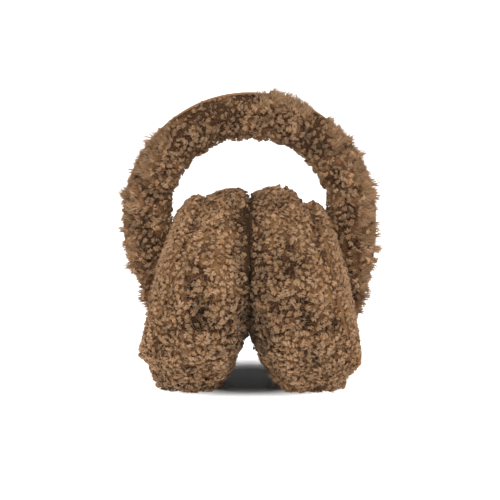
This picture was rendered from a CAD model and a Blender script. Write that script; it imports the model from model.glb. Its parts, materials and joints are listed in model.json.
# %% [markdown]
# # Shearling earmuffs standing on their ear pads
#
# Shearling is sheepskin tanned with its fleece on. On these earmuffs the curly fleece faces out all over,
# and only a narrow strip along the outside of the headband shows the suede of the other side. The packed
# CAD model gives each piece its place. This lesson dresses it: padded backings first, then thousands of
# modelled locks of curly wool on them, with fine wisps between and combed tufts along the headband, and the
# suede strip last.

# %% Load the frame
import json
import math

import bmesh
import bpy
import numpy as np
from mathutils import Matrix, Vector, noise
from mathutils.bvhtree import BVHTree
from mathutils.kdtree import KDTree

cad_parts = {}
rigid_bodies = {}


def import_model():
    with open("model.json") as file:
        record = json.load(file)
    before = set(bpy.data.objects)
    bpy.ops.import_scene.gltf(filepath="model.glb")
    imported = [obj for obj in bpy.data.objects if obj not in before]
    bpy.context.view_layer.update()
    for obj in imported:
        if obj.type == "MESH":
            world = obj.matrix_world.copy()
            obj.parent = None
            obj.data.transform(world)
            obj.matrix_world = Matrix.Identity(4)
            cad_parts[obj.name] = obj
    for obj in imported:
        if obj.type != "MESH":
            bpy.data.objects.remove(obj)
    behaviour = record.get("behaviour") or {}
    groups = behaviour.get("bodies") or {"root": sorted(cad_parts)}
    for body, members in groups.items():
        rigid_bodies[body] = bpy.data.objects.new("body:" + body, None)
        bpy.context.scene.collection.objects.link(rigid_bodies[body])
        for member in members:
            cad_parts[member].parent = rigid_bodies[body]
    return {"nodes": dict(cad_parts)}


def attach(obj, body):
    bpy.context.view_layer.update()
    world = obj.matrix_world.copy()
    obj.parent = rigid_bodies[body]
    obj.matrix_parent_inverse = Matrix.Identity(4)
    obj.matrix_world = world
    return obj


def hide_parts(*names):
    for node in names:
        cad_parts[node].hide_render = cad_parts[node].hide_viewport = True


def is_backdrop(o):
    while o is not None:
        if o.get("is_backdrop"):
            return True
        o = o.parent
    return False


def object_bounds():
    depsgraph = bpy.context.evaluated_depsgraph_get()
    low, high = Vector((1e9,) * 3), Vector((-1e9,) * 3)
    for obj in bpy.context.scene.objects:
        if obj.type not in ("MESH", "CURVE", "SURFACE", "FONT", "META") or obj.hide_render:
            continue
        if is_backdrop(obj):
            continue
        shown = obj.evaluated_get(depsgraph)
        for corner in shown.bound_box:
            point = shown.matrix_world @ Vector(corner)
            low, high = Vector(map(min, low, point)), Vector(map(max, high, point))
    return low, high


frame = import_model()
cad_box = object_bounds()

MM = 0.001
nodes = frame["nodes"]
print("nodes:", ", ".join(sorted(nodes)))

# %% [markdown]
# ## Camera
#
# A product photographer stands back and uses a long lens, so that what is near doesn't look larger than
# what is further back. The camera is 1.2 m away, a little higher than the headband, and looks down 6
# degrees.

# %% Camera
CAMERA_DISTANCE = 1.2
CAMERA_PITCH = math.radians(6.0)
AIM = Vector((0.0003, 0.0, 0.088))  # the place at the middle of the picture

camera_data = bpy.data.cameras.new("camera")
camera_data.lens = 135.0
camera_data.sensor_width = 36.0
camera_data.clip_start = 0.05
camera = bpy.data.objects.new("camera", camera_data)
camera.location = AIM + CAMERA_DISTANCE * Vector((0.0, -math.cos(CAMERA_PITCH), math.sin(CAMERA_PITCH)))
camera.rotation_euler = (math.pi / 2.0 - CAMERA_PITCH, 0.0, 0.0)
bpy.context.scene.collection.objects.link(camera)
bpy.context.scene.camera = camera
print("camera at", [round(c, 3) for c in camera.location])

# %% [markdown]
# ## Helpers
#
# Colours are picked as sRGB hex values, as a paint program shows them, but shaders work in linear light, so
# one function converts them. Another adds a node to a tree with its settings and links in one call. The
# rest are short ways to make an object, to read its points and to count its triangles.


# %% Colour and node helpers
def linear(hex_colour):
    """An sRGB hex colour such as #8A6B4C as the linear RGBA that a shader wants."""
    parts = [int(hex_colour[i : i + 2], 16) / 255.0 for i in (1, 3, 5)]
    curved = [c / 12.92 if c <= 0.04045 else ((c + 0.055) / 1.055) ** 2.4 for c in parts]
    return (*curved, 1.0)


def add_node(tree, kind, sockets=None, **settings):
    """Adds a node. Each of its sockets is fed by an output, by a node's first output, or by a plain value."""
    node = tree.nodes.new(kind)
    for name, value in settings.items():
        setattr(node, name, value)
    for name, source in (sockets or {}).items():
        if isinstance(source, bpy.types.Node):
            source = source.outputs[0]
        if isinstance(source, bpy.types.NodeSocket):
            tree.links.new(source, node.inputs[name])
        else:
            node.inputs[name].default_value = source
    return node


print("the brown #815A3C in linear light:", [round(c, 3) for c in linear("#815A3C")[:3]])


# %% Object and mesh helpers
def new_object(name, mesh):
    """Puts a mesh in the scene as an object at the origin."""
    made = bpy.data.objects.new(name, mesh)
    bpy.context.scene.collection.objects.link(made)
    return made


def coordinates(mesh):
    """The places of a mesh's points, one row of x, y and z each."""
    points = np.empty(len(mesh.vertices) * 3, np.float32)
    mesh.vertices.foreach_get("co", points)
    return points.reshape(-1, 3)


def finished(name, mesh):
    """Turns a bmesh into a smooth mesh and frees it."""
    data = bpy.data.meshes.new(name)
    mesh.to_mesh(data)
    mesh.free()
    data.shade_smooth()
    return data


def evaluated_mesh(piece):
    """The piece's mesh as its modifiers leave it."""
    graph = bpy.context.evaluated_depsgraph_get()
    return bpy.data.meshes.new_from_object(piece.evaluated_get(graph))


def set_coordinates(mesh, points):
    mesh.vertices.foreach_set("co", np.ascontiguousarray(points, np.float32).ravel())
    mesh.update()


def table(columns, *rows):
    """Rows of values as dictionaries, under the names of their columns."""
    return [dict(zip(columns.split(), row)) for row in rows]


def triangle_count(mesh):
    return sum(len(face.vertices) - 2 for face in mesh.polygons)


print("CAD model:", sum(triangle_count(node.data) for node in nodes.values()), "triangles")

# %% [markdown]
# ## Padded backings
#
# Under the curls each piece is a stuffed form: the skin that the fleece grows on. It starts from a copy of
# the CAD solid, whose loose triangles are merged and remeshed into an even skin, smoothed and sunk. The two
# ear cushions are then blown up a little with a cloth simulation, as filling does to a sewn cover. Last,
# each skin is fitted to its solid: as deep under it as the fleece is long in the open, and just over its
# surface where a neighbour, the floor or the other pad presses the wool flat.

# %% Depths and clearances
FLEECE_DEPTH = 2.0 * MM  # how far the skin lies under the solid on the cushions and the headband
COVER_FLEECE_DEPTH = 0.9 * MM  # the same on the thin covers
FLOOR_CLEARANCE = 0.1 * MM
MIDDLE_CLEARANCE = 0.03 * MM  # between each pad and the sheet on which they meet
MEETING_WAVE = 0.7 * MM  # how far that sheet waves to either side
PRESSED_ROOM = 0.8 * MM  # a skin with less room than this in front of it is pressed flat
FREE_ROOM = 3.5 * MM  # and with more than this it lies free
CLOTH_PRESSURE = 4.0
CLOTH_FRAMES = 20
SWELL = 4.0 * MM  # the most that the cloth may move a point
print("fleece", FLEECE_DEPTH / MM, "mm deep,", COVER_FLEECE_DEPTH / MM, "mm on the covers")


# %% Copy a solid and apply modifiers
def merged_copy(name, node):
    """A copy of a CAD node as one joined skin; the node itself is left alone."""
    mesh = bmesh.new()
    mesh.from_mesh(nodes[node].data)
    bmesh.ops.remove_doubles(mesh, verts=mesh.verts[:], dist=0.01 * MM)
    return new_object(name, finished(name, mesh))


def apply_modifiers(piece):
    """Makes what the piece's modifiers do its own mesh."""
    data = evaluated_mesh(piece)
    piece.modifiers.clear()
    old, piece.data = piece.data, data
    bpy.data.meshes.remove(old)
    data.name = piece.name
    data.shade_smooth()


# %% Press a skin flat
def keep_clear(points, side=None, pull=0.0):
    """Flattens points on the floor and, for a pad, where it meets the other pad.

    The two pads meet on a slightly wavy sheet, as soft ones do, so that no light shows between them. Points
    that are nearer to it than pull are drawn onto it.
    """
    points[:, 2] = np.maximum(points[:, 2], FLOOR_CLEARANCE)
    if side:
        sheet = MEETING_WAVE * np.sin(points[:, 1] / (6.0 * MM) + points[:, 2] / (25.0 * MM))
        away = side * (points[:, 0] - sheet)
        clear = np.maximum(away, MIDDLE_CLEARANCE)
        points[:, 0] = sheet + side * np.where(away < pull, MIDDLE_CLEARANCE, clear)
    return points


def tree_of(objects):
    """All the faces of some objects, for finding the nearest one."""
    mesh = bmesh.new()
    for piece in objects:
        mesh.from_mesh(piece.data)
    tree = BVHTree.FromBMesh(mesh)
    mesh.free()
    return tree


def smoothstep(low, high, values):
    """0 up to low, 1 from high on, and smooth between."""
    share = np.clip((values - low) / (high - low), 0.0, 1.0)
    return share * share * (3.0 - 2.0 * share)


def fit_under(piece, node, depth, neighbours, side=None):
    """Fits a skin to its CAD node: at a depth under it in the open, just over it where it is pressed.

    What presses is a neighbour, the floor, or for a pad the other pad at the plane between them.
    """
    tree = tree_of([nodes[node]])
    around = tree_of([nodes[name] for name in neighbours])
    points = coordinates(piece.data)
    for i, point in enumerate(points):
        place = Vector(point)
        nearest, normal, _, distance = tree.find_nearest(place)
        inside = distance if (place - nearest).dot(normal) < 0.0 else -distance
        outwards = (nearest - place) / inside if distance > 1e-7 else normal
        room = min(around.find_nearest(nearest)[3], nearest.z, side * nearest.x if side else 1.0)
        free = float(smoothstep(PRESSED_ROOM, FREE_ROOM, room))
        # Depths under the surface; a pressed skin stands 0.1 to 0.25 mm over it
        least = -0.25 * MM + free * (depth - 0.3 * MM)
        most = -0.1 * MM + free * (depth + 0.2 * MM)
        points[i] = place + outwards * (inside - min(max(inside, least), most))
    set_coordinates(piece.data, points)


# %% Remesh and inflate
def finer(piece):
    """Divides every face of a skin in four."""
    divide = piece.modifiers.new("divide", "SUBSURF")
    divide.levels = divide.render_levels = 1
    apply_modifiers(piece)


def backing(name, node, voxel, sink, rounds):
    """The skin under the fleece of a CAD node: evenly meshed, smoothed in rounds and sunk."""
    piece = merged_copy(name, node)
    remesh = piece.modifiers.new("even", "REMESH")
    remesh.mode = "VOXEL"
    remesh.voxel_size = voxel
    smooth = piece.modifiers.new("smooth", "SMOOTH")
    smooth.iterations = rounds
    smooth.factor = 0.5
    shrink = piece.modifiers.new("sink", "DISPLACE")
    shrink.strength = -sink
    shrink.mid_level = 0.0
    apply_modifiers(piece)
    return piece


def inflate(piece, cap):
    """Blows the piece up as its filling does: cloth with pressure inside, no point moving more than cap."""
    before = coordinates(piece.data)
    cloth = piece.modifiers.new("cloth", "CLOTH")
    cloth.settings.use_pressure = True
    cloth.settings.uniform_pressure_force = CLOTH_PRESSURE
    cloth.settings.effector_weights.gravity = 0.0
    scene = bpy.context.scene
    for number in range(1, CLOTH_FRAMES + 1):
        scene.frame_set(number)
    blown = coordinates(evaluated_mesh(piece))
    piece.modifiers.clear()
    scene.frame_set(1)
    move = blown - before
    length = np.linalg.norm(move, axis=1, keepdims=True)
    move *= np.minimum(1.0, cap / np.maximum(length, 1e-9))
    set_coordinates(piece.data, before + move)
    print(piece.name, "swelled by up to", round(float(length.max()) / MM, 1), "mm, kept to", cap / MM)


# %% Backings
PADS = {"left": -1, "right": 1}  # the side of the middle that each pad is on

cushions = {}
covers = {}
for name, side in PADS.items():
    node = f"ear_cushion_{name}"
    cushion = backing(f"cushion_backing_{name}", node, voxel=4.5 * MM, sink=4.0 * MM, rounds=6)
    inflate(cushion, SWELL)
    finer(cushion)
    fit_under(cushion, node, FLEECE_DEPTH, [f"ear_cover_{name}"], side)
    set_coordinates(cushion.data, keep_clear(coordinates(cushion.data), side))
    cushions[name] = cushion
    node = f"ear_cover_{name}"
    cover = backing(f"cover_backing_{name}", node, voxel=2.0 * MM, sink=0.6 * MM, rounds=3)
    fit_under(cover, node, COVER_FLEECE_DEPTH, [f"ear_cushion_{name}", "headband_fleece"])
    covers[name] = cover
band = backing("headband_backing", "headband_fleece", voxel=2.0 * MM, sink=1.6 * MM, rounds=8)
fit_under(band, "headband_fleece", FLEECE_DEPTH, ["outer_suede_strip", "ear_cover_left", "ear_cover_right"])
backings = [*cushions.values(), *covers.values(), band]
for piece in backings:
    print(piece.name, triangle_count(piece.data), "triangles")

# %% [markdown]
# ## How much fleece grows where
#
# Values stored on the points of a backing tell the next steps what grows there. `fur` is where fine wool
# grows: not where another piece or the floor presses on the skin. `curls` is how densely locks stand in it,
# `tuft` where it is combed up, `size` how large all of these are, `tone` how light they are and `lie` which
# way they point. The values come from the distance to the neighbours, from slow noise that gathers the wool
# in clumps, and from a table of the dents and partings on the front. There the skin is pressed in, fewer
# locks grow and the wool is darker.


# %% Distances and noise
def distances_to(points, objects):
    """How far each point is from the nearest of some objects."""
    tree = tree_of(objects)
    return np.array([tree.find_nearest(Vector(point))[3] for point in points])


def patches(points, size, seed):
    """A slow random value from about -1 to 1 that changes over the given length."""
    shift = Vector((7.3 * seed, 3.1 * seed, 5.7 * seed))
    return np.array([noise.noise(Vector(point) / size + shift) for point in points])


def near_open(points, pressed, reach):
    """1 in the open and up to a short way in under what presses on the skin, 0 deeper in."""
    shown = KDTree(int((~pressed).sum()))
    for i, point in enumerate(points[~pressed]):
        shown.insert(Vector(point), i)
    shown.balance()
    away = np.array([shown.find(Vector(point))[2] if hid else 0.0 for point, hid in zip(points, pressed)])
    return 1.0 - smoothstep(0.6 * reach, reach, away)


def normals_of(mesh):
    normals = np.empty(len(mesh.vertices) * 3, np.float32)
    mesh.vertices.foreach_get("normal", normals)
    return normals.reshape(-1, 3)


print("a slow random value:", round(float(patches([(0.0, 0.0, 0.1)], 8.0 * MM, 1.0)[0]), 3))

# %% Dents on the front
DENT_DEPTH_LIMIT = -20.0 * MM  # only the wool in front of this has dents

# Each dent or parting runs along a line. In mm: the line's ends, how far the dent reaches to either side
# and how deep the skin is pressed in; and as a share, how much of the fleece is parted there
DENTS = table(
    "x z x2 z2 reach press part",
    (-30.0, 59.0, -28.5, 50.0, 5.4, 9.0, 0.9),
    (-36.0, 60.0, -35.0, 50.0, 1.6, 3.0, 0.8),
    (-31.5, 82.5, -28.5, 81.0, 2.6, 4.0, 0.8),
    (-39.0, 76.5, -24.0, 76.5, 1.3, 3.0, 0.8),
    (-38.0, 71.0, -22.0, 71.5, 1.3, 3.0, 0.8),
    (-38.0, 65.5, -22.0, 66.0, 1.3, 3.0, 0.7),
    (33.0, 54.0, 36.0, 48.0, 2.8, 5.0, 0.9),
    (21.5, 46.5, 31.0, 47.0, 1.8, 4.0, 0.8),
    (33.0, 64.5, 38.5, 63.0, 2.2, 4.0, 0.8),
    (22.0, 80.5, 28.0, 79.5, 2.6, 4.0, 0.8),
    (23.0, 96.0, 25.5, 93.5, 2.0, 3.0, 0.8),
    (39.0, 104.0, 46.0, 84.5, 1.5, 3.0, 0.7),
    (55.5, 47.0, 51.0, 26.0, 1.6, 3.0, 0.7),
    (40.0, 41.0, 52.0, 50.0, 1.4, 3.0, 0.6),
)


def dent_fields(points):
    """How deep the dents press each point in, and the share of its locks that they leave."""
    press = np.zeros(len(points))
    kept = np.ones(len(points))
    for dent in DENTS:
        start = np.array([dent["x"], dent["z"]]) * MM
        run = np.array([dent["x2"], dent["z2"]]) * MM - start
        place = points[:, [0, 2]] - start
        share = np.clip(place @ run / (run @ run), 0.0, 1.0)
        away = np.linalg.norm(place - share[:, None] * run, axis=1) / (dent["reach"] * MM)
        near = np.exp(-(away**2)) * (points[:, 1] < DENT_DEPTH_LIMIT)
        press += dent["press"] * MM * near
        kept *= 1.0 - dent["part"] * near
    return press, kept


print(len(DENTS), "dents and partings, the deepest", max(dent["press"] for dent in DENTS), "mm")


# %% Store values on a mesh
def store(mesh, name, values):
    attribute = mesh.attributes.new(name, "FLOAT", "POINT")
    attribute.data.foreach_set("value", np.ascontiguousarray(values, np.float32))


def store_lie(mesh, amount, comb=0.0):
    """Stores which way the fleece lies: out along the normals, swayed in clumps, and combed one way."""
    points = coordinates(mesh)
    sway = np.stack([patches(points, 7.0 * MM, seed) for seed in (21.0, 22.0, 23.0)], 1)
    attribute = mesh.attributes.new("lie", "FLOAT_VECTOR", "POINT")
    lie = normals_of(mesh) + amount * sway + comb
    attribute.data.foreach_set("vector", np.ascontiguousarray(lie, np.float32).ravel())


def fade(low, high, values):
    """1 up to low mm, 0 from high mm on, and smooth between."""
    return 1.0 - smoothstep(low * MM, high * MM, values)


def hill(across, height, middle, reach):
    """1 at a place in mm, and less the further from it, over a reach in mm to the side and up."""
    aside = ((across - middle[0] * MM) / (reach[0] * MM)) ** 2
    above = ((height - middle[1] * MM) / (reach[1] * MM)) ** 2
    return np.exp(-aside - above)


SWAY = 0.6  # how far the clumps sway the wool from the normals, as a share of a normal's length
print("a fade from 4 to 16 mm is", round(float(fade(4.0, 16.0, 10.0 * MM)), 2), "at 10 mm")

# %% Fleece on the cushions
SOFT_RIM = {"left": 9.0 * MM, "right": 17.0 * MM}  # how far the finer fleece reaches in from the seam
SWELLS = 1.8 * MM  # how far slow noise lifts the skin of a cushion, so that the wool stands in clumps

for name, side in PADS.items():
    mesh = cushions[name].data
    points = coordinates(mesh)
    press, kept = dent_fields(points)
    points[:, 1] += press
    from_cover = distances_to(points, [nodes[f"ear_cover_{name}"]])
    free = smoothstep(0.6 * MM, 4.0 * MM, np.minimum(from_cover, side * points[:, 0]))
    fine = 1.0 - smoothstep(3.0 * MM, SOFT_RIM[name], from_cover)
    slow = patches(points, 8.0 * MM, 1.0)
    points += normals_of(mesh) * (slow * SWELLS * free)[:, None]
    set_coordinates(mesh, keep_clear(points, side, pull=1.0 * MM))
    away = side * points[:, 0]
    height = points[:, 2]
    pressed = (away < 1.0 * MM) | (height < 0.8 * MM) | (from_cover < 0.8 * MM)
    fur = near_open(points, pressed, 2.5 * MM)
    store(mesh, "fur", fur)
    store(mesh, "curls", fur * kept * smoothstep(0.0, 0.7 * MM, away))

    # The locks are largest at the middle of the front and smaller at the rim and near the top
    full = 0.14 * hill(away, height, (28.0, 58.0), (16.0, 24.0))
    full -= 0.12 * smoothstep(88.0 * MM, 108.0 * MM, height)
    store(mesh, "size", np.clip(1.0 - 0.18 * fine + 0.25 * slow + full, 0.6, 1.35))

    # Dark in the groove between the pads, all the more low down where they part
    groove = 0.3 * fade(4.0, 16.0, away) + 0.9 * fade(0.4, 2.4, away)
    groove += 0.5 * fade(5.0, 24.0, away) * fade(40.0, 72.0, height)
    groove += 0.7 * fade(1.5, 6.5, away) * fade(55.0, 85.0, height)

    # A little darker low down, at one shaded place on the right pad, and in the crease along the cover's top
    low = -0.18 * fade(20.0, 90.0, height)
    low -= 0.3 * hill(points[:, 0], height, (24.0, 78.0), (18.0, 24.0))
    crease = fade(0.5, 3.0, from_cover) * smoothstep(85.0 * MM, 100.0 * MM, height)
    light = 0.45 + 0.25 * fine - groove + low - 0.7 * crease
    light += 0.4 * patches(points, 16.0 * MM, 3.0)
    light -= 1.1 * (1.0 - kept)
    store(mesh, "tone", np.clip(light + 0.65 * slow, -0.9, 1.3))
    store_lie(mesh, SWAY)
    print(mesh.name, "has fleece on", round(float(fur.mean()) * 100), "% of its points")

# %% Fleece on the covers
for name in PADS:
    mesh = covers[name].data
    points = coordinates(mesh)
    room = distances_to(points, [nodes[f"ear_cushion_{name}"], nodes["headband_fleece"]])
    fur = near_open(points, room < 0.6 * MM, 2.0 * MM)
    slow = patches(points, 7.0 * MM, 4.0)
    store(mesh, "fur", fur)
    store(mesh, "curls", fur)
    store(mesh, "size", 0.9 + 0.12 * slow)
    store(mesh, "tone", np.clip(0.6 + 0.3 * patches(points, 12.0 * MM, 4.0) + 0.5 * slow, -0.3, 1.2))
    store_lie(mesh, SWAY)
    print(mesh.name, "has fleece on", round(float(fur.mean()) * 100), "% of its points")

# %% Fleece on the headband
# From where to where, in mm across, the strip's edge shows over the fleece at the crown of the headband
STRIP_SHOWS = table("from to", (-50.0, 5.0), (38.0, 48.0))
STRIP_BLEND = 3.0 * MM
CROWN = 0.14  # above this height the headband is its crown
ARCH_MIDDLE = 109.5 * MM  # the height of the middle of the arch

mesh = band.data
points = coordinates(mesh)
from_strip = distances_to(points, [nodes["outer_suede_strip"]])
from_covers = distances_to(points, [nodes["ear_cover_left"], nodes["ear_cover_right"]])
free = smoothstep(0.6 * MM, 4.0 * MM, np.minimum(from_strip, from_covers))
slow = patches(points, 7.0 * MM, 5.0)
points += normals_of(mesh) * (slow * 1.7 * MM * free)[:, None]
set_coordinates(mesh, points)
across = points[:, 0]
height = points[:, 2]

# Which side of the arch a point is on: the shoulder faces out, the inner side faces the head
outwards = np.stack([across, np.maximum(height - ARCH_MIDDLE, 0.0)], 1)
outwards /= np.linalg.norm(outwards, axis=1, keepdims=True)
facing_out = (normals_of(mesh)[:, [0, 2]] * outwards).sum(1)
shoulder = smoothstep(-0.1, 0.5, facing_out)
inner = smoothstep(0.2, 0.7, -facing_out)
bare = np.zeros(len(points))
for arc in STRIP_SHOWS:
    low = arc["from"] * MM
    high = arc["to"] * MM
    inside = smoothstep(low - STRIP_BLEND, low + STRIP_BLEND, across)
    inside *= 1.0 - smoothstep(high - STRIP_BLEND, high + STRIP_BLEND, across)
    bare = np.maximum(bare, inside * (height > CROWN))
fringe = shoulder * (1.0 - bare)

# %% Fur, size, tone and lie on the headband
fur = near_open(points, from_covers < 1.0 * MM, 1.8 * MM) * (from_strip > 0.5 * MM)
store(mesh, "fur", fur)
store(mesh, "curls", fur * (1.0 - 0.25 * inner) * (1.0 - 0.4 * shoulder * (1.0 - bare)))

# The fringe stands in clumps, and highest just right of the crown's middle
clump = patches(points, 3.2 * MM, 11.0)
clumps = 0.9 * clump
clumps += 0.55 * np.exp(-(((across - 20.0 * MM) / (9.0 * MM)) ** 2)) * (height > CROWN)
clumps *= fringe
store(mesh, "size", np.clip(1.0 - 0.15 * inner + 0.25 * slow - 0.35 * bare * shoulder + clumps, 0.45, 1.6))

# Darker towards the crown, lighter along the fringe
light = 0.1 + 0.2 * np.maximum(shoulder, inner) + 0.4 * patches(points, 16.0 * MM, 7.0)
light -= 0.25 * smoothstep(135.0 * MM, 165.0 * MM, height)
light += fringe * (0.3 + 0.6 * clump)
store(mesh, "tone", np.clip(light + 0.75 * slow, -0.5, 1.2))
store(mesh, "tuft", fringe * fur * smoothstep(-0.5, -0.05, clump))
outer = np.stack([outwards[:, 0], np.zeros(len(points)), outwards[:, 1]], 1)
store_lie(mesh, SWAY, comb=outer * (2.0 * fringe)[:, None])
print(mesh.name, "has fleece on", round(float(fur.mean()) * 100), "% of its points")

# %% [markdown]
# ## One lock of wool
#
# A lock of fleece is some dozens of wool fibres that crimp together and roll over into a curl. Modelling
# every fibre would take millions of faces, and one fat tube would look like a pebble, so each lock is three
# thin strands that rise from the skin side by side, arch over and roll in. `bmesh.ops.spin` sweeps a small
# square round an axis and along it, which makes such a coiled strand in one step; its rings are then scaled
# for the taper. Eight shapes of lock, turned and scaled at random, are enough variety for thousands, and
# each has few faces.

# %% Shapes of the locks
STRAND_SIDES = 4
STRAND_STEPS = 4

# In mm, coil is the radius of the roll, thick that of a strand, spread how far apart the strands lie, rise
# how far the coil runs sideways and lift how high its middle stands. It rolls from start degrees below
# level through turns, and close is the share by which it tightens towards its tip
LOCK_SHAPES = table(
    "name coil thick spread rise turns start lift close",
    ("arch", 1.65, 0.72, 0.86, 0.4, 0.58, 40, 0.4, 0.30),
    ("roll", 1.35, 0.68, 0.82, 1.6, 0.78, 45, 0.8, 0.35),
    ("wide", 2.05, 0.72, 0.92, -0.5, 0.48, 30, 0.1, 0.25),
    ("knot", 1.25, 0.70, 0.74, -1.9, 0.86, 55, 0.8, 0.40),
    ("hook", 1.85, 0.66, 0.80, 1.0, 0.52, 35, 0.5, 0.50),
    ("stub", 1.15, 0.74, 0.86, 0.6, 0.60, 60, 1.0, 0.15),
    ("fan", 1.60, 0.66, 1.12, 0.2, 0.55, 45, 0.4, 0.30),
    ("point", 2.30, 0.64, 0.66, 0.8, 0.38, 25, 0.6, 0.20),
)
# Each strand departs a little from its lock: its place across it, shares of its coil and turns, and degrees
# of its start
STRANDS = table(
    "place coil turns start",
    (-1.0, 0.90, 0.92, 10.0),
    (0.0, 1.08, 1.04, -6.0),
    (1.0, 0.98, 0.86, 3.0),
)
STRAND_FAN = 0.5  # mm by which each strand runs further sideways than the one before


def thickness_along(share):
    """A strand's thickness from root to tip: slim where it leaves the skin, full in the roll, then less."""
    swelling = 0.25 * math.sin(min(1.0, share * 2.5) * math.pi / 2.0)
    return 0.75 + swelling - 0.6 * max(0.0, share - 0.55) ** 1.2


def strand_mesh(shape, strand, number):
    """One coiled strand: a square swept round and along an axis, and tapered ring by ring."""
    mesh = bmesh.new()
    coil = shape["coil"] * strand["coil"] * MM
    bmesh.ops.create_circle(mesh, cap_ends=True, radius=shape["thick"] * MM, segments=STRAND_SIDES)
    stand = Matrix.Translation((coil, 0.0, 0.0)) @ Matrix.Rotation(math.pi / 2.0, 4, "X")
    bmesh.ops.transform(mesh, matrix=stand, verts=mesh.verts[:])
    bmesh.ops.spin(
        mesh,
        geom=mesh.verts[:] + mesh.edges[:] + mesh.faces[:],
        cent=(0.0, 0.0, 0.0),
        axis=(0.0, 0.0, 1.0),
        dvec=(0.0, 0.0, (shape["rise"] + STRAND_FAN * strand["place"]) * MM / STRAND_STEPS),
        angle=shape["turns"] * strand["turns"] * 2.0 * math.pi,
        steps=STRAND_STEPS,
        use_duplicate=False,
    )
    open_edges = [edge for edge in mesh.edges if edge.is_boundary]
    if open_edges:
        bmesh.ops.holes_fill(mesh, edges=open_edges)
    mesh.verts.ensure_lookup_table()
    layer = mesh.loops.layers.uv.new("Strand")
    place = {}
    for step in range(STRAND_STEPS + 1):
        share = step / STRAND_STEPS
        ring = mesh.verts[step * STRAND_SIDES : (step + 1) * STRAND_SIDES]
        middle = sum((vertex.co for vertex in ring), Vector()) / STRAND_SIDES
        for i, vertex in enumerate(ring):
            place[vertex] = (i / STRAND_SIDES, share)
        pull = Vector((middle.x, middle.y, 0.0)) * -shape["close"] * share
        size = thickness_along(share)
        bmesh.ops.scale(mesh, vec=(size, size, size), space=Matrix.Translation(-middle), verts=ring)
        bmesh.ops.translate(mesh, vec=pull, verts=ring)
    bmesh.ops.pointmerge(mesh, verts=ring, merge_co=ring[0].co.lerp(ring[1].co, 0.5))
    for face in mesh.faces:
        wraps = any(place[v][0] > 0.6 for v in face.verts) and any(place[v][0] < 0.1 for v in face.verts)
        for loop in face.loops:
            around, along = place[loop.vert]
            around = around + 1.0 if wraps and around < 0.1 else around
            loop[layer].uv = ((number + around * 0.9) / len(STRANDS), along)
    turn = Matrix.Rotation(math.pi / 2.0, 3, "X") @ Matrix.Rotation(
        -math.radians(shape["start"] + strand["start"]), 3, "Z"
    )
    bmesh.ops.translate(mesh, vec=(0.0, 0.0, shape["spread"] * strand["place"] * MM), verts=mesh.verts[:])
    bmesh.ops.rotate(mesh, cent=(0.0, 0.0, 0.0), matrix=turn, verts=mesh.verts[:])
    bmesh.ops.translate(mesh, vec=(0.0, 0.0, shape["lift"] * MM), verts=mesh.verts[:])
    bmesh.ops.recalc_face_normals(mesh, faces=mesh.faces[:])
    if mesh.calc_volume(signed=True) < 0.0:
        bmesh.ops.reverse_faces(mesh, faces=mesh.faces[:])
    return finished("strand", mesh)


# %% Join the strands of a lock
def lock_mesh(shape):
    """The strands of one lock, joined."""
    mesh = bmesh.new()
    for number, strand in enumerate(STRANDS):
        data = strand_mesh(shape, strand, number)
        mesh.from_mesh(data)
        bpy.data.meshes.remove(data)
    return finished("lock_" + shape["name"], mesh)


print(len(LOCK_SHAPES), "shapes of lock, each of", len(STRANDS), "strands")

# %% [markdown]
# ## Stray wisps and tufts
#
# Wisps of a few wool fibres stand out of the curls and blur the outline. A real fibre is 0.03 mm thick; a
# wisp is drawn 0.36 mm thick at its root, a needle with three sides and a point, so that it shows. Along
# the outer edge of the headband the fleece is combed up into pointed tufts. Each is five thicker needles
# side by side, which lean apart a little and bend one way.

# %% Wisp and tuft sizes
SPIKE_SIDES = 3
SPIKE_CUTS = 2
WISP_RADIUS = 0.18 * MM
TUFT_RADIUS = 0.42 * MM
# Lengths and spread in mm, bend in radians
WISPS = table("length bend", (4.2, 0.4), (4.9, 1.0), (5.6, 0.7))
TUFTS = table("length spread bend", (5.7, 0.7, 0.4), (6.4, 0.8, 0.6), (7.1, 0.7, 0.5), (6.0, 0.9, 0.8))
# The needles of a tuft: their places in shares of its spread, and their lengths in shares of its length
TUFT_NEEDLES = table(
    "along across length",
    (-1.0, 0.2, 0.8),
    (0.0, -0.4, 1.0),
    (0.9, 0.4, 0.9),
    (0.2, 0.9, 0.7),
    (-0.5, 0.8, 0.85),
)
print(len(WISPS), "shapes of wisp and", len(TUFTS), "of tuft")


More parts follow.
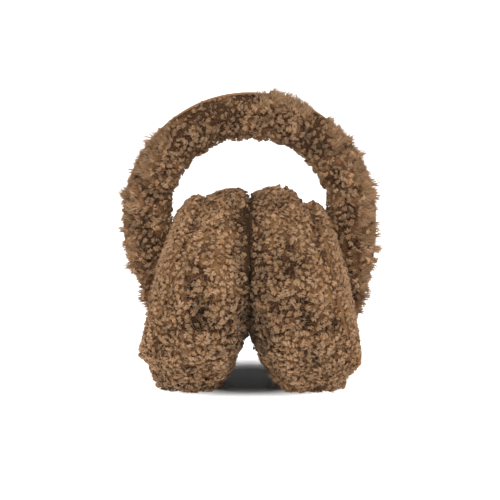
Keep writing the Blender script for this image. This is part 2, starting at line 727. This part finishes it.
# %% Wisp and tuft shapes
def spike(length, radius, bend):
    """A pointed needle standing on its base, bent over by an angle towards its tip."""
    mesh = bmesh.new()
    bmesh.ops.create_circle(mesh, cap_ends=True, radius=radius, segments=SPIKE_SIDES)
    top = mesh.faces[:]
    for step in range(1, SPIKE_CUTS + 1):
        lifted = bmesh.ops.extrude_face_region(mesh, geom=top)
        ring = [part for part in lifted["geom"] if isinstance(part, bmesh.types.BMVert)]
        bmesh.ops.delete(mesh, geom=top, context="FACES_ONLY")
        top = [part for part in lifted["geom"] if isinstance(part, bmesh.types.BMFace)]
        bmesh.ops.translate(mesh, vec=(0.0, 0.0, length / SPIKE_CUTS), verts=ring)
        middle = Vector((0.0, 0.0, step * length / SPIKE_CUTS))
        narrower = (1.0 - step / SPIKE_CUTS) ** 0.7 / (1.0 - (step - 1) / SPIKE_CUTS) ** 0.7
        bmesh.ops.scale(mesh, vec=(narrower, narrower, 1.0), space=Matrix.Translation(-middle), verts=ring)
    bmesh.ops.remove_doubles(mesh, verts=mesh.verts[:], dist=0.002 * MM)
    layer = mesh.loops.layers.uv.new("Strand")
    heights = {vertex: vertex.co.z / length for vertex in mesh.verts}
    for face in mesh.faces:
        for loop in face.loops:
            loop[layer].uv = (0.5 + loop.vert.co.y / (4.0 * radius), 0.2 + 0.6 * heights[loop.vert])
    for vertex in mesh.verts:
        angle = bend * heights[vertex]
        vertex.co.x += length * heights[vertex] * math.sin(angle) * 0.5
        vertex.co.z *= math.cos(angle * 0.7)
    bmesh.ops.recalc_face_normals(mesh, faces=mesh.faces[:])
    return mesh


def tuft_mesh(name, shape):
    """Needles that stand side by side, lean apart a little and bend one way, as a combed lock does."""
    tuft = bmesh.new()
    for needle in TUFT_NEEDLES:
        along = needle["along"]
        across = needle["across"]
        spread = shape["spread"]
        mesh = spike(shape["length"] * needle["length"] * MM, TUFT_RADIUS, shape["bend"])
        lean = Matrix.Rotation(0.12 * along, 4, "X") @ Matrix.Rotation(0.1 * across, 4, "Y")
        place = Matrix.Translation((across * spread * MM, -along * spread * MM, 0.0)) @ lean
        bmesh.ops.transform(mesh, matrix=place, verts=mesh.verts[:])
        part = finished("strand", mesh)
        tuft.from_mesh(part)
        bpy.data.meshes.remove(part)
    return finished(name, tuft)


def kit_of(name, meshes):
    """A collection that holds one object for each shape, for the node tree to pick from."""
    kit = bpy.data.collections.new(name)
    bpy.context.scene.collection.children.link(kit)
    for data in meshes:
        kit.objects.link(bpy.data.objects.new(data.name, data))
        print(data.name, triangle_count(data), "triangles")
    return kit


lock_kit = kit_of("lock kit", [lock_mesh(shape) for shape in LOCK_SHAPES])
wisp_shapes = [spike(shape["length"] * MM, WISP_RADIUS, shape["bend"]) for shape in WISPS]
wisp_kit = kit_of("wisp kit", [finished(f"wisp_{i}", mesh) for i, mesh in enumerate(wisp_shapes)])
tuft_kit = kit_of("tuft kit", [tuft_mesh(f"tuft_{i}", shape) for i, shape in enumerate(TUFTS)])

# %% [markdown]
# ## Scattering with Geometry Nodes
#
# A small node tree lays the fleece on each backing. Distribute Points on Faces in its Poisson mode keeps
# the roots an even distance apart, as hair roots are, and reads `curls`, `fur` or `tuft` for where they
# grow. Each point gets one of the shapes, which stands along `lie`, is tipped and turned by a random
# amount, and is as large as `size` says. The instances are made real, because the finished piece must be a
# mesh. Last, noise moves their points a little, so that no two locks are alike.


# %% Scatter tree
def scatter_tree(name, kit, laid, seed):
    """A node tree that grows the shapes of a collection on a mesh, in the way that laid says."""
    tree = bpy.data.node_groups.new(name, "GeometryNodeTree")
    for way in ("INPUT", "OUTPUT"):
        tree.interface.new_socket("Geometry", in_out=way, socket_type="NodeSocketGeometry")
    start = add_node(tree, "NodeGroupInput")
    stored = {}
    for key, kind in ((laid["where"], "FLOAT"), ("size", "FLOAT"), ("lie", "FLOAT_VECTOR")):
        stored[key] = add_node(tree, "GeometryNodeInputNamedAttribute", {"Name": key}, data_type=kind)

    # Where each shape stands, which way it points and how large it is
    spacing = laid["spacing"]
    roots = add_node(
        tree, "GeometryNodeDistributePointsOnFaces",
        {
            "Mesh": start, "Density Factor": stored[laid["where"]], "Distance Min": spacing,
            "Density Max": 3.0 / spacing**2, "Seed": seed,
        },
        distribute_method="POISSON",
    )
    lean = laid["lean"]
    turn = add_node(
        tree, "FunctionNodeRandomValue",
        {0: (-lean, -lean, -math.pi), 1: (lean, lean, math.pi), "Seed": seed + 1},
        data_type="FLOAT_VECTOR",
    )
    turned = add_node(tree, "FunctionNodeEulerToRotation", {"Euler": turn})
    along = add_node(
        tree, "FunctionNodeAlignRotationToVector",
        {"Rotation": roots.outputs["Rotation"], "Vector": stored["lie"]},
        axis="Z",
    )
    rotation = add_node(
        tree, "FunctionNodeRotateRotation", {"Rotation": along, "Rotate By": turned}, rotation_space="LOCAL"
    )
    vary = add_node(
        tree, "FunctionNodeRandomValue",
        {2: laid["smallest"], 3: laid["largest"], "Seed": seed + 2},
        data_type="FLOAT",
    )
    scale = add_node(tree, "ShaderNodeMath", {0: stored["size"], 1: vary.outputs[1]}, operation="MULTIPLY")

    # Which shape it is
    shapes = add_node(
        tree, "GeometryNodeCollectionInfo",
        {"Collection": kit, "Separate Children": True, "Reset Children": True},
    )
    last = len(kit.objects) - 1
    pick = add_node(tree, "FunctionNodeRandomValue", {4: 0, 5: last, "Seed": seed + 3}, data_type="INT")
    grown = add_node(
        tree, "GeometryNodeInstanceOnPoints",
        {
            "Points": roots, "Instance": shapes, "Instance Index": pick.outputs[2], "Rotation": rotation,
            "Scale": scale, "Pick Instance": True,
        },
    )

    # A random shade and a number for each, which stay on its faces for the material and the UV map
    shade = add_node(tree, "FunctionNodeRandomValue", {2: 0.0, 3: 1.0, "Seed": seed + 4}, data_type="FLOAT")
    number = add_node(tree, "GeometryNodeInputIndex")
    instances = grown
    for key, kind, value in (("shade", "FLOAT", shade.outputs[1]), ("curl", "INT", number)):
        instances = add_node(
            tree, "GeometryNodeStoreNamedAttribute",
            {"Geometry": instances, "Name": key, "Value": value},
            data_type=kind, domain="INSTANCE",
        )
    real = add_node(tree, "GeometryNodeRealizeInstances", {"Geometry": instances})

    # Noise of about 2 mm that makes them ragged
    rough = add_node(tree, "ShaderNodeTexNoise", {"Scale": 560.0, "Detail": 1.0})
    centred = add_node(
        tree, "ShaderNodeVectorMath", {0: rough.outputs["Color"], 1: (0.5, 0.5, 0.5)}, operation="SUBTRACT"
    )
    amount = add_node(
        tree, "ShaderNodeVectorMath", {0: centred, "Scale": laid["ragged"]}, operation="SCALE"
    )
    moved = add_node(tree, "GeometryNodeSetPosition", {"Geometry": real, "Offset": amount})
    add_node(tree, "NodeGroupOutput", {"Geometry": moved})
    return tree


# %% UV cells and growing
def cell_map(mesh):
    """Gives every curl its own square cell of a UV map, so that its colours can be baked by themselves."""
    corner_vertex = np.empty(len(mesh.loops), np.int32)
    mesh.loops.foreach_get("vertex_index", corner_vertex)
    curl = np.empty(len(mesh.vertices), np.int32)
    mesh.attributes["curl"].data.foreach_get("value", curl)
    across = math.ceil(math.sqrt(curl.max() + 1))
    local = np.empty(len(mesh.loops) * 2, np.float32)
    mesh.uv_layers["Strand"].data.foreach_get("uv", local)
    local = local.reshape(-1, 2)
    cell = curl[corner_vertex]
    inside = np.stack([local[:, 0] / 1.2, local[:, 1]], 1) * 0.84 + 0.08
    places = (np.stack([cell % across, cell // across], 1) + inside) / across
    layer = mesh.uv_layers.new(name="OFBake", do_init=False)
    layer.data.foreach_set("uv", np.ascontiguousarray(places, np.float32).ravel())


def grow(name, skin, tree, side=None):
    """Grows a tree's shapes on a backing and keeps the result as a mesh piece of its own."""
    grower = skin.modifiers.new("grow", "NODES")
    grower.node_group = tree
    mesh = evaluated_mesh(skin)
    skin.modifiers.remove(grower)
    mesh.name = name
    set_coordinates(mesh, keep_clear(coordinates(mesh), side))
    cell_map(mesh)
    piece = new_object(name, mesh)
    print(name, triangle_count(mesh), "triangles")
    return piece


# %% Grow the fleece
# What each kind grows by: where it grows, how far apart its roots are, how far it leans in radians, how
# large its smallest and largest are, and how far noise moves its points
LOCKS_LAID, WISPS_LAID, TUFTS_LAID = table(
    "where spacing lean smallest largest ragged",
    ("curls", 2.65 * MM, 0.6, 0.84, 1.22, 2.0 * MM),
    ("fur", 1.35 * MM, 0.95, 0.8, 1.15, 0.0),
    ("tuft", 1.25 * MM, 0.35, 0.75, 1.15, 0.8 * MM),
)

locks = []
wisps = []
growth = [(pads[name], side) for pads in (cushions, covers) for name, side in PADS.items()]
growth.append((band, None))
for number, (skin, side) in enumerate(growth):
    part = skin.name.replace("_backing", "")
    tree = scatter_tree("locks on " + part, lock_kit, LOCKS_LAID, 10 * number + 1)
    locks.append(grow("locks_" + part, skin, tree, side))
    tree = scatter_tree("wisps on " + part, wisp_kit, WISPS_LAID, 10 * number + 501)
    wisps.append(grow("wisps_" + part, skin, tree, side))
tree = scatter_tree("tufts", tuft_kit, TUFTS_LAID, 901)
locks.append(grow("tufts_headband", band, tree))
for kit in (lock_kit, wisp_kit, tuft_kit):
    for shape in list(kit.objects):
        bpy.data.objects.remove(shape)
    bpy.data.collections.remove(kit)
print("in all", sum(triangle_count(piece.data) for piece in locks + wisps), "triangles of fleece")

# %% [markdown]
# ## Suede strip
#
# The strip is one cut length of suede sewn along the outside of the headband. Its copy of the CAD solid is
# joined back into four-sided faces, its long edges are rounded where the cut edge is turned, and one level
# of subdivision takes the corners out of the arch.

# %% Suede strip
TURNED_EDGE = 0.45 * MM  # how far its long edges are rounded

mesh = bmesh.new()
mesh.from_mesh(nodes["outer_suede_strip"].data)
bmesh.ops.remove_doubles(mesh, verts=mesh.verts[:], dist=0.01 * MM)
bmesh.ops.join_triangles(mesh, faces=mesh.faces[:], angle_face_threshold=0.6, angle_shape_threshold=1.2)
sharp = [edge for edge in mesh.edges if len(edge.link_faces) == 2 and edge.calc_face_angle() > 1.0]
long_edges = [edge for edge in sharp if abs(edge.verts[0].co.y - edge.verts[1].co.y) < MM]
bmesh.ops.bevel(
    mesh, geom=long_edges, offset=TURNED_EDGE, segments=2, profile=0.5, affect="EDGES", material=-1
)
strip = new_object("suede_strip", finished("suede_strip", mesh))
divide = strip.modifiers.new("divide", "SUBSURF")
divide.levels = divide.render_levels = 1
apply_modifiers(strip)
print("suede strip", triangle_count(strip.data), "triangles")

# %% [markdown]
# ## Materials
#
# Dyed sheep's wool: each fibre is matt and slightly translucent, so a curl looks velvety, lighter at its
# top where the light passes through the fibres and dark at its root. The colour comes from four things: how
# far along the curl a point is, the `tone` of its place, a random shade per curl, and fine streaks that run
# with the fibres. All the materials start from one function that sets the shader's sockets.


# %% Start of a material
def new_material(name, looks):
    """A material, its tree and its Principled shader, whose sockets are set to the looks."""
    material = bpy.data.materials.new(name)
    material.use_nodes = True
    shader = material.node_tree.nodes["Principled BSDF"]
    for socket, value in looks.items():
        shader.inputs[socket].default_value = value
    return material, material.node_tree, shader


# %% Fleece material
WOOL_ROOT = "#6B462A"
WOOL_MIDDLE = "#815A3C"
WOOL_TIP = "#937456"
STREAKS_AROUND = 9.0  # wool fibres are 0.03 mm thick; drawn about 0.4 mm wide to show
FUZZ_SCALE = 1100.0  # grains of about 0.9 mm, far coarser than the fibres, so that they show
WOOL_LOOKS = {
    "Roughness": 0.88,
    "IOR": 1.55,
    "Specular IOR Level": 0.25,
    "Sheen Weight": 0.16,
    "Sheen Roughness": 0.5,
    "Sheen Tint": linear("#DDB596"),
}


def wool(name, streaks, gain):
    """Dyed wool: streaks is how much the fibres vary in lightness, gain how light it is as a whole."""
    material, tree, shader = new_material(name, WOOL_LOOKS)
    strand = add_node(tree, "ShaderNodeUVMap", uv_map="Strand")
    parts = add_node(tree, "ShaderNodeSeparateXYZ", {"Vector": strand})
    ramp = add_node(tree, "ShaderNodeValToRGB", {"Fac": parts.outputs["Y"]})
    ramp.color_ramp.elements[0].color = linear(WOOL_ROOT)
    ramp.color_ramp.elements[0].position = 0.02
    ramp.color_ramp.elements[1].color = linear(WOOL_MIDDLE)
    ramp.color_ramp.elements[1].position = 1.0
    for place, colour in ((0.2, WOOL_MIDDLE), (0.45, WOOL_TIP), (0.75, WOOL_TIP)):
        ramp.color_ramp.elements.new(place).color = linear(colour)
    shade = add_node(tree, "ShaderNodeAttribute", attribute_name="shade").outputs["Fac"]
    tone = add_node(tree, "ShaderNodeAttribute", attribute_name="tone").outputs["Fac"]
    toned = add_node(
        tree, "ShaderNodeMapRange", {"Value": tone, "From Min": -0.9, "To Min": 0.22, "To Max": 1.2}
    )
    value = add_node(
        tree, "ShaderNodeMapRange", {"Value": shade, "To Min": 0.90 * gain, "To Max": 1.05 * gain}
    )
    warmth = add_node(
        tree, "ShaderNodeMapRange",
        {"Value": shade, "From Min": 1.0, "From Max": 0.0, "To Min": 0.95, "To Max": 1.08},
    )
    stretch = add_node(tree, "ShaderNodeMapping", {"Vector": strand, "Scale": (STREAKS_AROUND, 1.6, 1.0)})
    shifted = add_node(tree, "ShaderNodeVectorMath", {0: stretch, 1: shade}, operation="ADD")
    streak = add_node(
        tree, "ShaderNodeTexNoise", {"Vector": shifted, "Scale": 1.6, "Detail": 2.0, "Roughness": 0.6}
    )
    streak_value = add_node(
        tree, "ShaderNodeMapRange",
        {
            "Value": streak, "From Min": 0.3, "From Max": 0.7, "To Min": 1.0 - streaks,
            "To Max": 1.0 + streaks,
        },
    )
    own = add_node(tree, "ShaderNodeMath", {0: value, 1: toned}, operation="MULTIPLY")
    both = add_node(tree, "ShaderNodeMath", {0: own, 1: streak_value}, operation="MULTIPLY")
    final = add_node(tree, "ShaderNodeHueSaturation", {"Color": ramp, "Value": both, "Saturation": warmth})
    tree.links.new(final.outputs["Color"], shader.inputs["Base Color"])
    where = add_node(tree, "ShaderNodeTexCoord").outputs["Object"]
    fuzz = add_node(
        tree, "ShaderNodeTexNoise", {"Vector": where, "Scale": FUZZ_SCALE, "Detail": 3.0, "Roughness": 0.65}
    )
    height = add_node(tree, "ShaderNodeMath", {0: streak, 1: fuzz}, operation="ADD")
    bump = add_node(tree, "ShaderNodeBump", {"Height": height, "Strength": 0.35, "Distance": 0.35 * MM})
    tree.links.new(bump.outputs["Normal"], shader.inputs["Normal"])
    return material


curl_wool = wool("curly dyed sheep's wool", 0.10, 1.0)
wisp_wool = wool("stray wool fibres", 0.0, 1.05)
print("materials:", curl_wool.name, "and", wisp_wool.name)

# %% [markdown]
# Between the roots of the curls the short underwool lies matted on the hide, matt and darker than the
# locks. It shows only in partings and between curls, so a broken-up brown that follows `tone`, with a rough
# bump, is enough.

# %% Skin material
SKIN_DARK = "#3C2717"
SKIN_MIDDLE = "#66482F"
SKIN_LIGHT = "#80603F"
MOTTLE_SCALE = 750.0  # knots of about 1.3 mm
SKIN_SHEEN = linear("#D9BC95")

looks = {"Roughness": 0.95, "Specular IOR Level": 0.15, "Sheen Weight": 0.06, "Sheen Tint": SKIN_SHEEN}
skin_material, tree, shader = new_material("matted underwool", looks)
tone = add_node(tree, "ShaderNodeAttribute", attribute_name="tone").outputs["Fac"]
ramp = add_node(tree, "ShaderNodeValToRGB", {"Fac": tone})
ramp.color_ramp.elements[0].color = linear(SKIN_DARK)
ramp.color_ramp.elements[0].position = 0.0
ramp.color_ramp.elements[1].color = linear(SKIN_LIGHT)
ramp.color_ramp.elements[1].position = 0.85
ramp.color_ramp.elements.new(0.35).color = linear(SKIN_MIDDLE)
where = add_node(tree, "ShaderNodeTexCoord").outputs["Object"]
mottle = add_node(
    tree, "ShaderNodeTexNoise", {"Vector": where, "Scale": MOTTLE_SCALE, "Detail": 4.0, "Roughness": 0.6}
)
value = add_node(
    tree, "ShaderNodeMapRange",
    {"Value": mottle, "From Min": 0.3, "From Max": 0.7, "To Min": 0.72, "To Max": 1.24},
)
final = add_node(tree, "ShaderNodeHueSaturation", {"Color": ramp, "Value": value})
tree.links.new(final.outputs["Color"], shader.inputs["Base Color"])
bump = add_node(tree, "ShaderNodeBump", {"Height": mottle, "Strength": 1.0, "Distance": 0.5 * MM})
tree.links.new(bump.outputs["Normal"], shader.inputs["Normal"])
print("material:", skin_material.name)

# %% [markdown]
# Suede is the buffed flesh side of the hide: a short nap that scatters light, slightly redder than the
# wool, with cloudy patches where the nap lies one way or the other.

# %% Suede material
SUEDE_DARK = "#76553D"
SUEDE_LIGHT = "#8F6C4E"
CLOUD_SCALE = 140.0  # patches of about 7 mm
NAP_SCALE = 800.0  # a real nap is 0.1 mm fine; drawn about 1.2 mm to show
SUEDE_SHEEN = linear("#D7A77C")

looks = {"Roughness": 0.9, "Specular IOR Level": 0.2, "Sheen Weight": 0.3, "Sheen Tint": SUEDE_SHEEN}
suede, tree, shader = new_material("buffed suede", looks)
where = add_node(tree, "ShaderNodeTexCoord").outputs["Object"]
cloud = add_node(tree, "ShaderNodeTexNoise", {"Vector": where, "Scale": CLOUD_SCALE, "Detail": 5.0})
nap = add_node(
    tree, "ShaderNodeTexNoise", {"Vector": where, "Scale": NAP_SCALE, "Detail": 5.0, "Roughness": 0.65}
)
mixed = add_node(tree, "ShaderNodeMix", {"A": cloud, "B": nap, "Factor": 0.65})
ramp = add_node(tree, "ShaderNodeValToRGB", {"Fac": mixed})
ramp.color_ramp.elements[0].color = linear(SUEDE_DARK)
ramp.color_ramp.elements[0].position = 0.35
ramp.color_ramp.elements[1].color = linear(SUEDE_LIGHT)
ramp.color_ramp.elements[1].position = 0.65
tree.links.new(ramp.outputs["Color"], shader.inputs["Base Color"])
bump = add_node(tree, "ShaderNodeBump", {"Height": nap, "Strength": 0.8, "Distance": 0.25 * MM})
tree.links.new(bump.outputs["Normal"], shader.inputs["Normal"])
print("material:", suede.name)

# %% Dress the pieces
finishes = ((locks, curl_wool), (wisps, wisp_wool), (backings, skin_material), ([strip], suede))
for dressed, material in finishes:
    for piece in dressed:
        piece.data.materials.clear()
        piece.data.materials.append(material)
    print(len(dressed), "pieces in", material.name)

# %% [markdown]
# ## Studio
#
# A white cove: a round floor that curves up into a wall on all sides, so that no horizon shows from
# anywhere. A soft light hangs overhead and in front, two weaker ones fill from high up at the sides, and
# the paper away from the object glows, as it does when lamps of its own light it up to pure white. The wall
# glows only low down, where it shows, so that the shadow under the pads stays deep.

# %% Cove
COVE_RADIUS = 2.3
COVE_HEIGHT = 2.6
COVE_BEND = 0.9

mesh = bmesh.new()
bmesh.ops.create_circle(mesh, cap_ends=True, radius=COVE_RADIUS, segments=64)
fold = mesh.edges[:]
wall = bmesh.ops.extrude_edge_only(mesh, edges=fold)
rim = [part for part in wall["geom"] if isinstance(part, bmesh.types.BMVert)]
bmesh.ops.translate(mesh, vec=(0.0, 0.0, COVE_HEIGHT), verts=rim)
bmesh.ops.bevel(mesh, geom=fold, offset=COVE_BEND, segments=16, profile=0.5, affect="EDGES", material=-1)
bmesh.ops.recalc_face_normals(mesh, faces=mesh.faces[:])
if max(mesh.faces, key=lambda face: face.calc_area()).normal.z < 0.0:
    bmesh.ops.reverse_faces(mesh, faces=mesh.faces[:])
sweep = new_object("sweep", finished("sweep", mesh))
print("cove", 2 * COVE_RADIUS, "m across and", COVE_HEIGHT, "m high")

# %% White paper
looks = {"Roughness": 0.8, "Specular IOR Level": 0.1, "Emission Color": (1.0, 1.0, 1.0, 1.0)}
paper, tree, shader = new_material("white seamless paper", looks)
where = add_node(tree, "ShaderNodeTexCoord").outputs["Object"]
wide = add_node(
    tree, "ShaderNodeMapping", {"Vector": where, "Location": (0.0, -0.028, 0.0), "Scale": (1.55, 1.0, 1.0)}
)
away = add_node(tree, "ShaderNodeVectorMath", {0: wide}, operation="LENGTH").outputs["Value"]
glow = add_node(
    tree, "ShaderNodeMapRange",
    {"Value": away, "From Min": 0.05, "From Max": 0.088, "To Min": 0.0, "To Max": 0.9},
)
height = add_node(tree, "ShaderNodeSeparateXYZ", {"Vector": where})
low = add_node(
    tree, "ShaderNodeMapRange",
    {"Value": height.outputs["Z"], "From Min": 0.4, "From Max": 0.7, "To Min": 1.0, "To Max": 0.0},
)
both = add_node(tree, "ShaderNodeMath", {0: glow, 1: low}, operation="MULTIPLY")
tree.links.new(both.outputs["Value"], shader.inputs["Emission Strength"])
tint = add_node(
    tree, "ShaderNodeMapRange",
    {"Value": away, "From Min": 0.036, "From Max": 0.08, "To Min": 0.05, "To Max": 0.95},
)
tree.links.new(tint.outputs["Result"], shader.inputs["Base Color"])
sweep.data.materials.append(paper)
sweep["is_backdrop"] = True
print("material:", paper.name)

# %% Lights
LIGHT_WIDTH = 0.7
LIT_PLACE = Vector((0.0, 0.0, 0.08))


def soft_light(name, place, watts):
    """A round soft light that faces the middle of the object."""
    data = bpy.data.lights.new(name, "AREA")
    data.shape = "DISK"
    data.size = LIGHT_WIDTH
    data.energy = watts
    light = bpy.data.objects.new(name, data)
    light.location = place
    light.rotation_euler = (LIT_PLACE - Vector(place)).to_track_quat("-Z", "Y").to_euler()
    bpy.context.scene.collection.objects.link(light)


soft_light("overhead", (0.0, -0.75, 1.25), 12.5)
soft_light("front left", (-0.8, -1.1, 1.25), 5.2)
soft_light("front right", (0.9, -1.0, 1.2), 4.8)

world = bpy.data.worlds.new("studio")
world.use_nodes = True
world.node_tree.nodes["Background"].inputs["Color"].default_value = (1.0, 1.0, 1.0, 1.0)
world.node_tree.nodes["Background"].inputs["Strength"].default_value = 0.03
bpy.context.scene.world = world
bpy.context.scene.view_settings.view_transform = "Standard"
print("three lights and a white world")

# %% [markdown]
# ## Hand over to the frame
#
# Every piece rides on the model's one body and names its finish. The backings and the strip say which CAD
# nodes they stand for, and the stuffed ones are declared as padded.

# %% Rides, replacements and slots
for name in PADS:
    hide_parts(f"ear_cushion_{name}")
    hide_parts(f"ear_cover_{name}")
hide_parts("headband_fleece")
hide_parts("outer_suede_strip")
for piece in [*backings, *locks, *wisps]:
    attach(piece, "root")
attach(strip, "root")

# %% Sizes and finish
bpy.context.view_layer.update()
visual_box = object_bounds()
for low, high, axis in zip(visual_box[0] - cad_box[0], visual_box[1] - cad_box[1], "XYZ"):
    print(axis, "beyond the CAD box by", round(-low / MM, 1), "and", round(high / MM, 1), "mm")
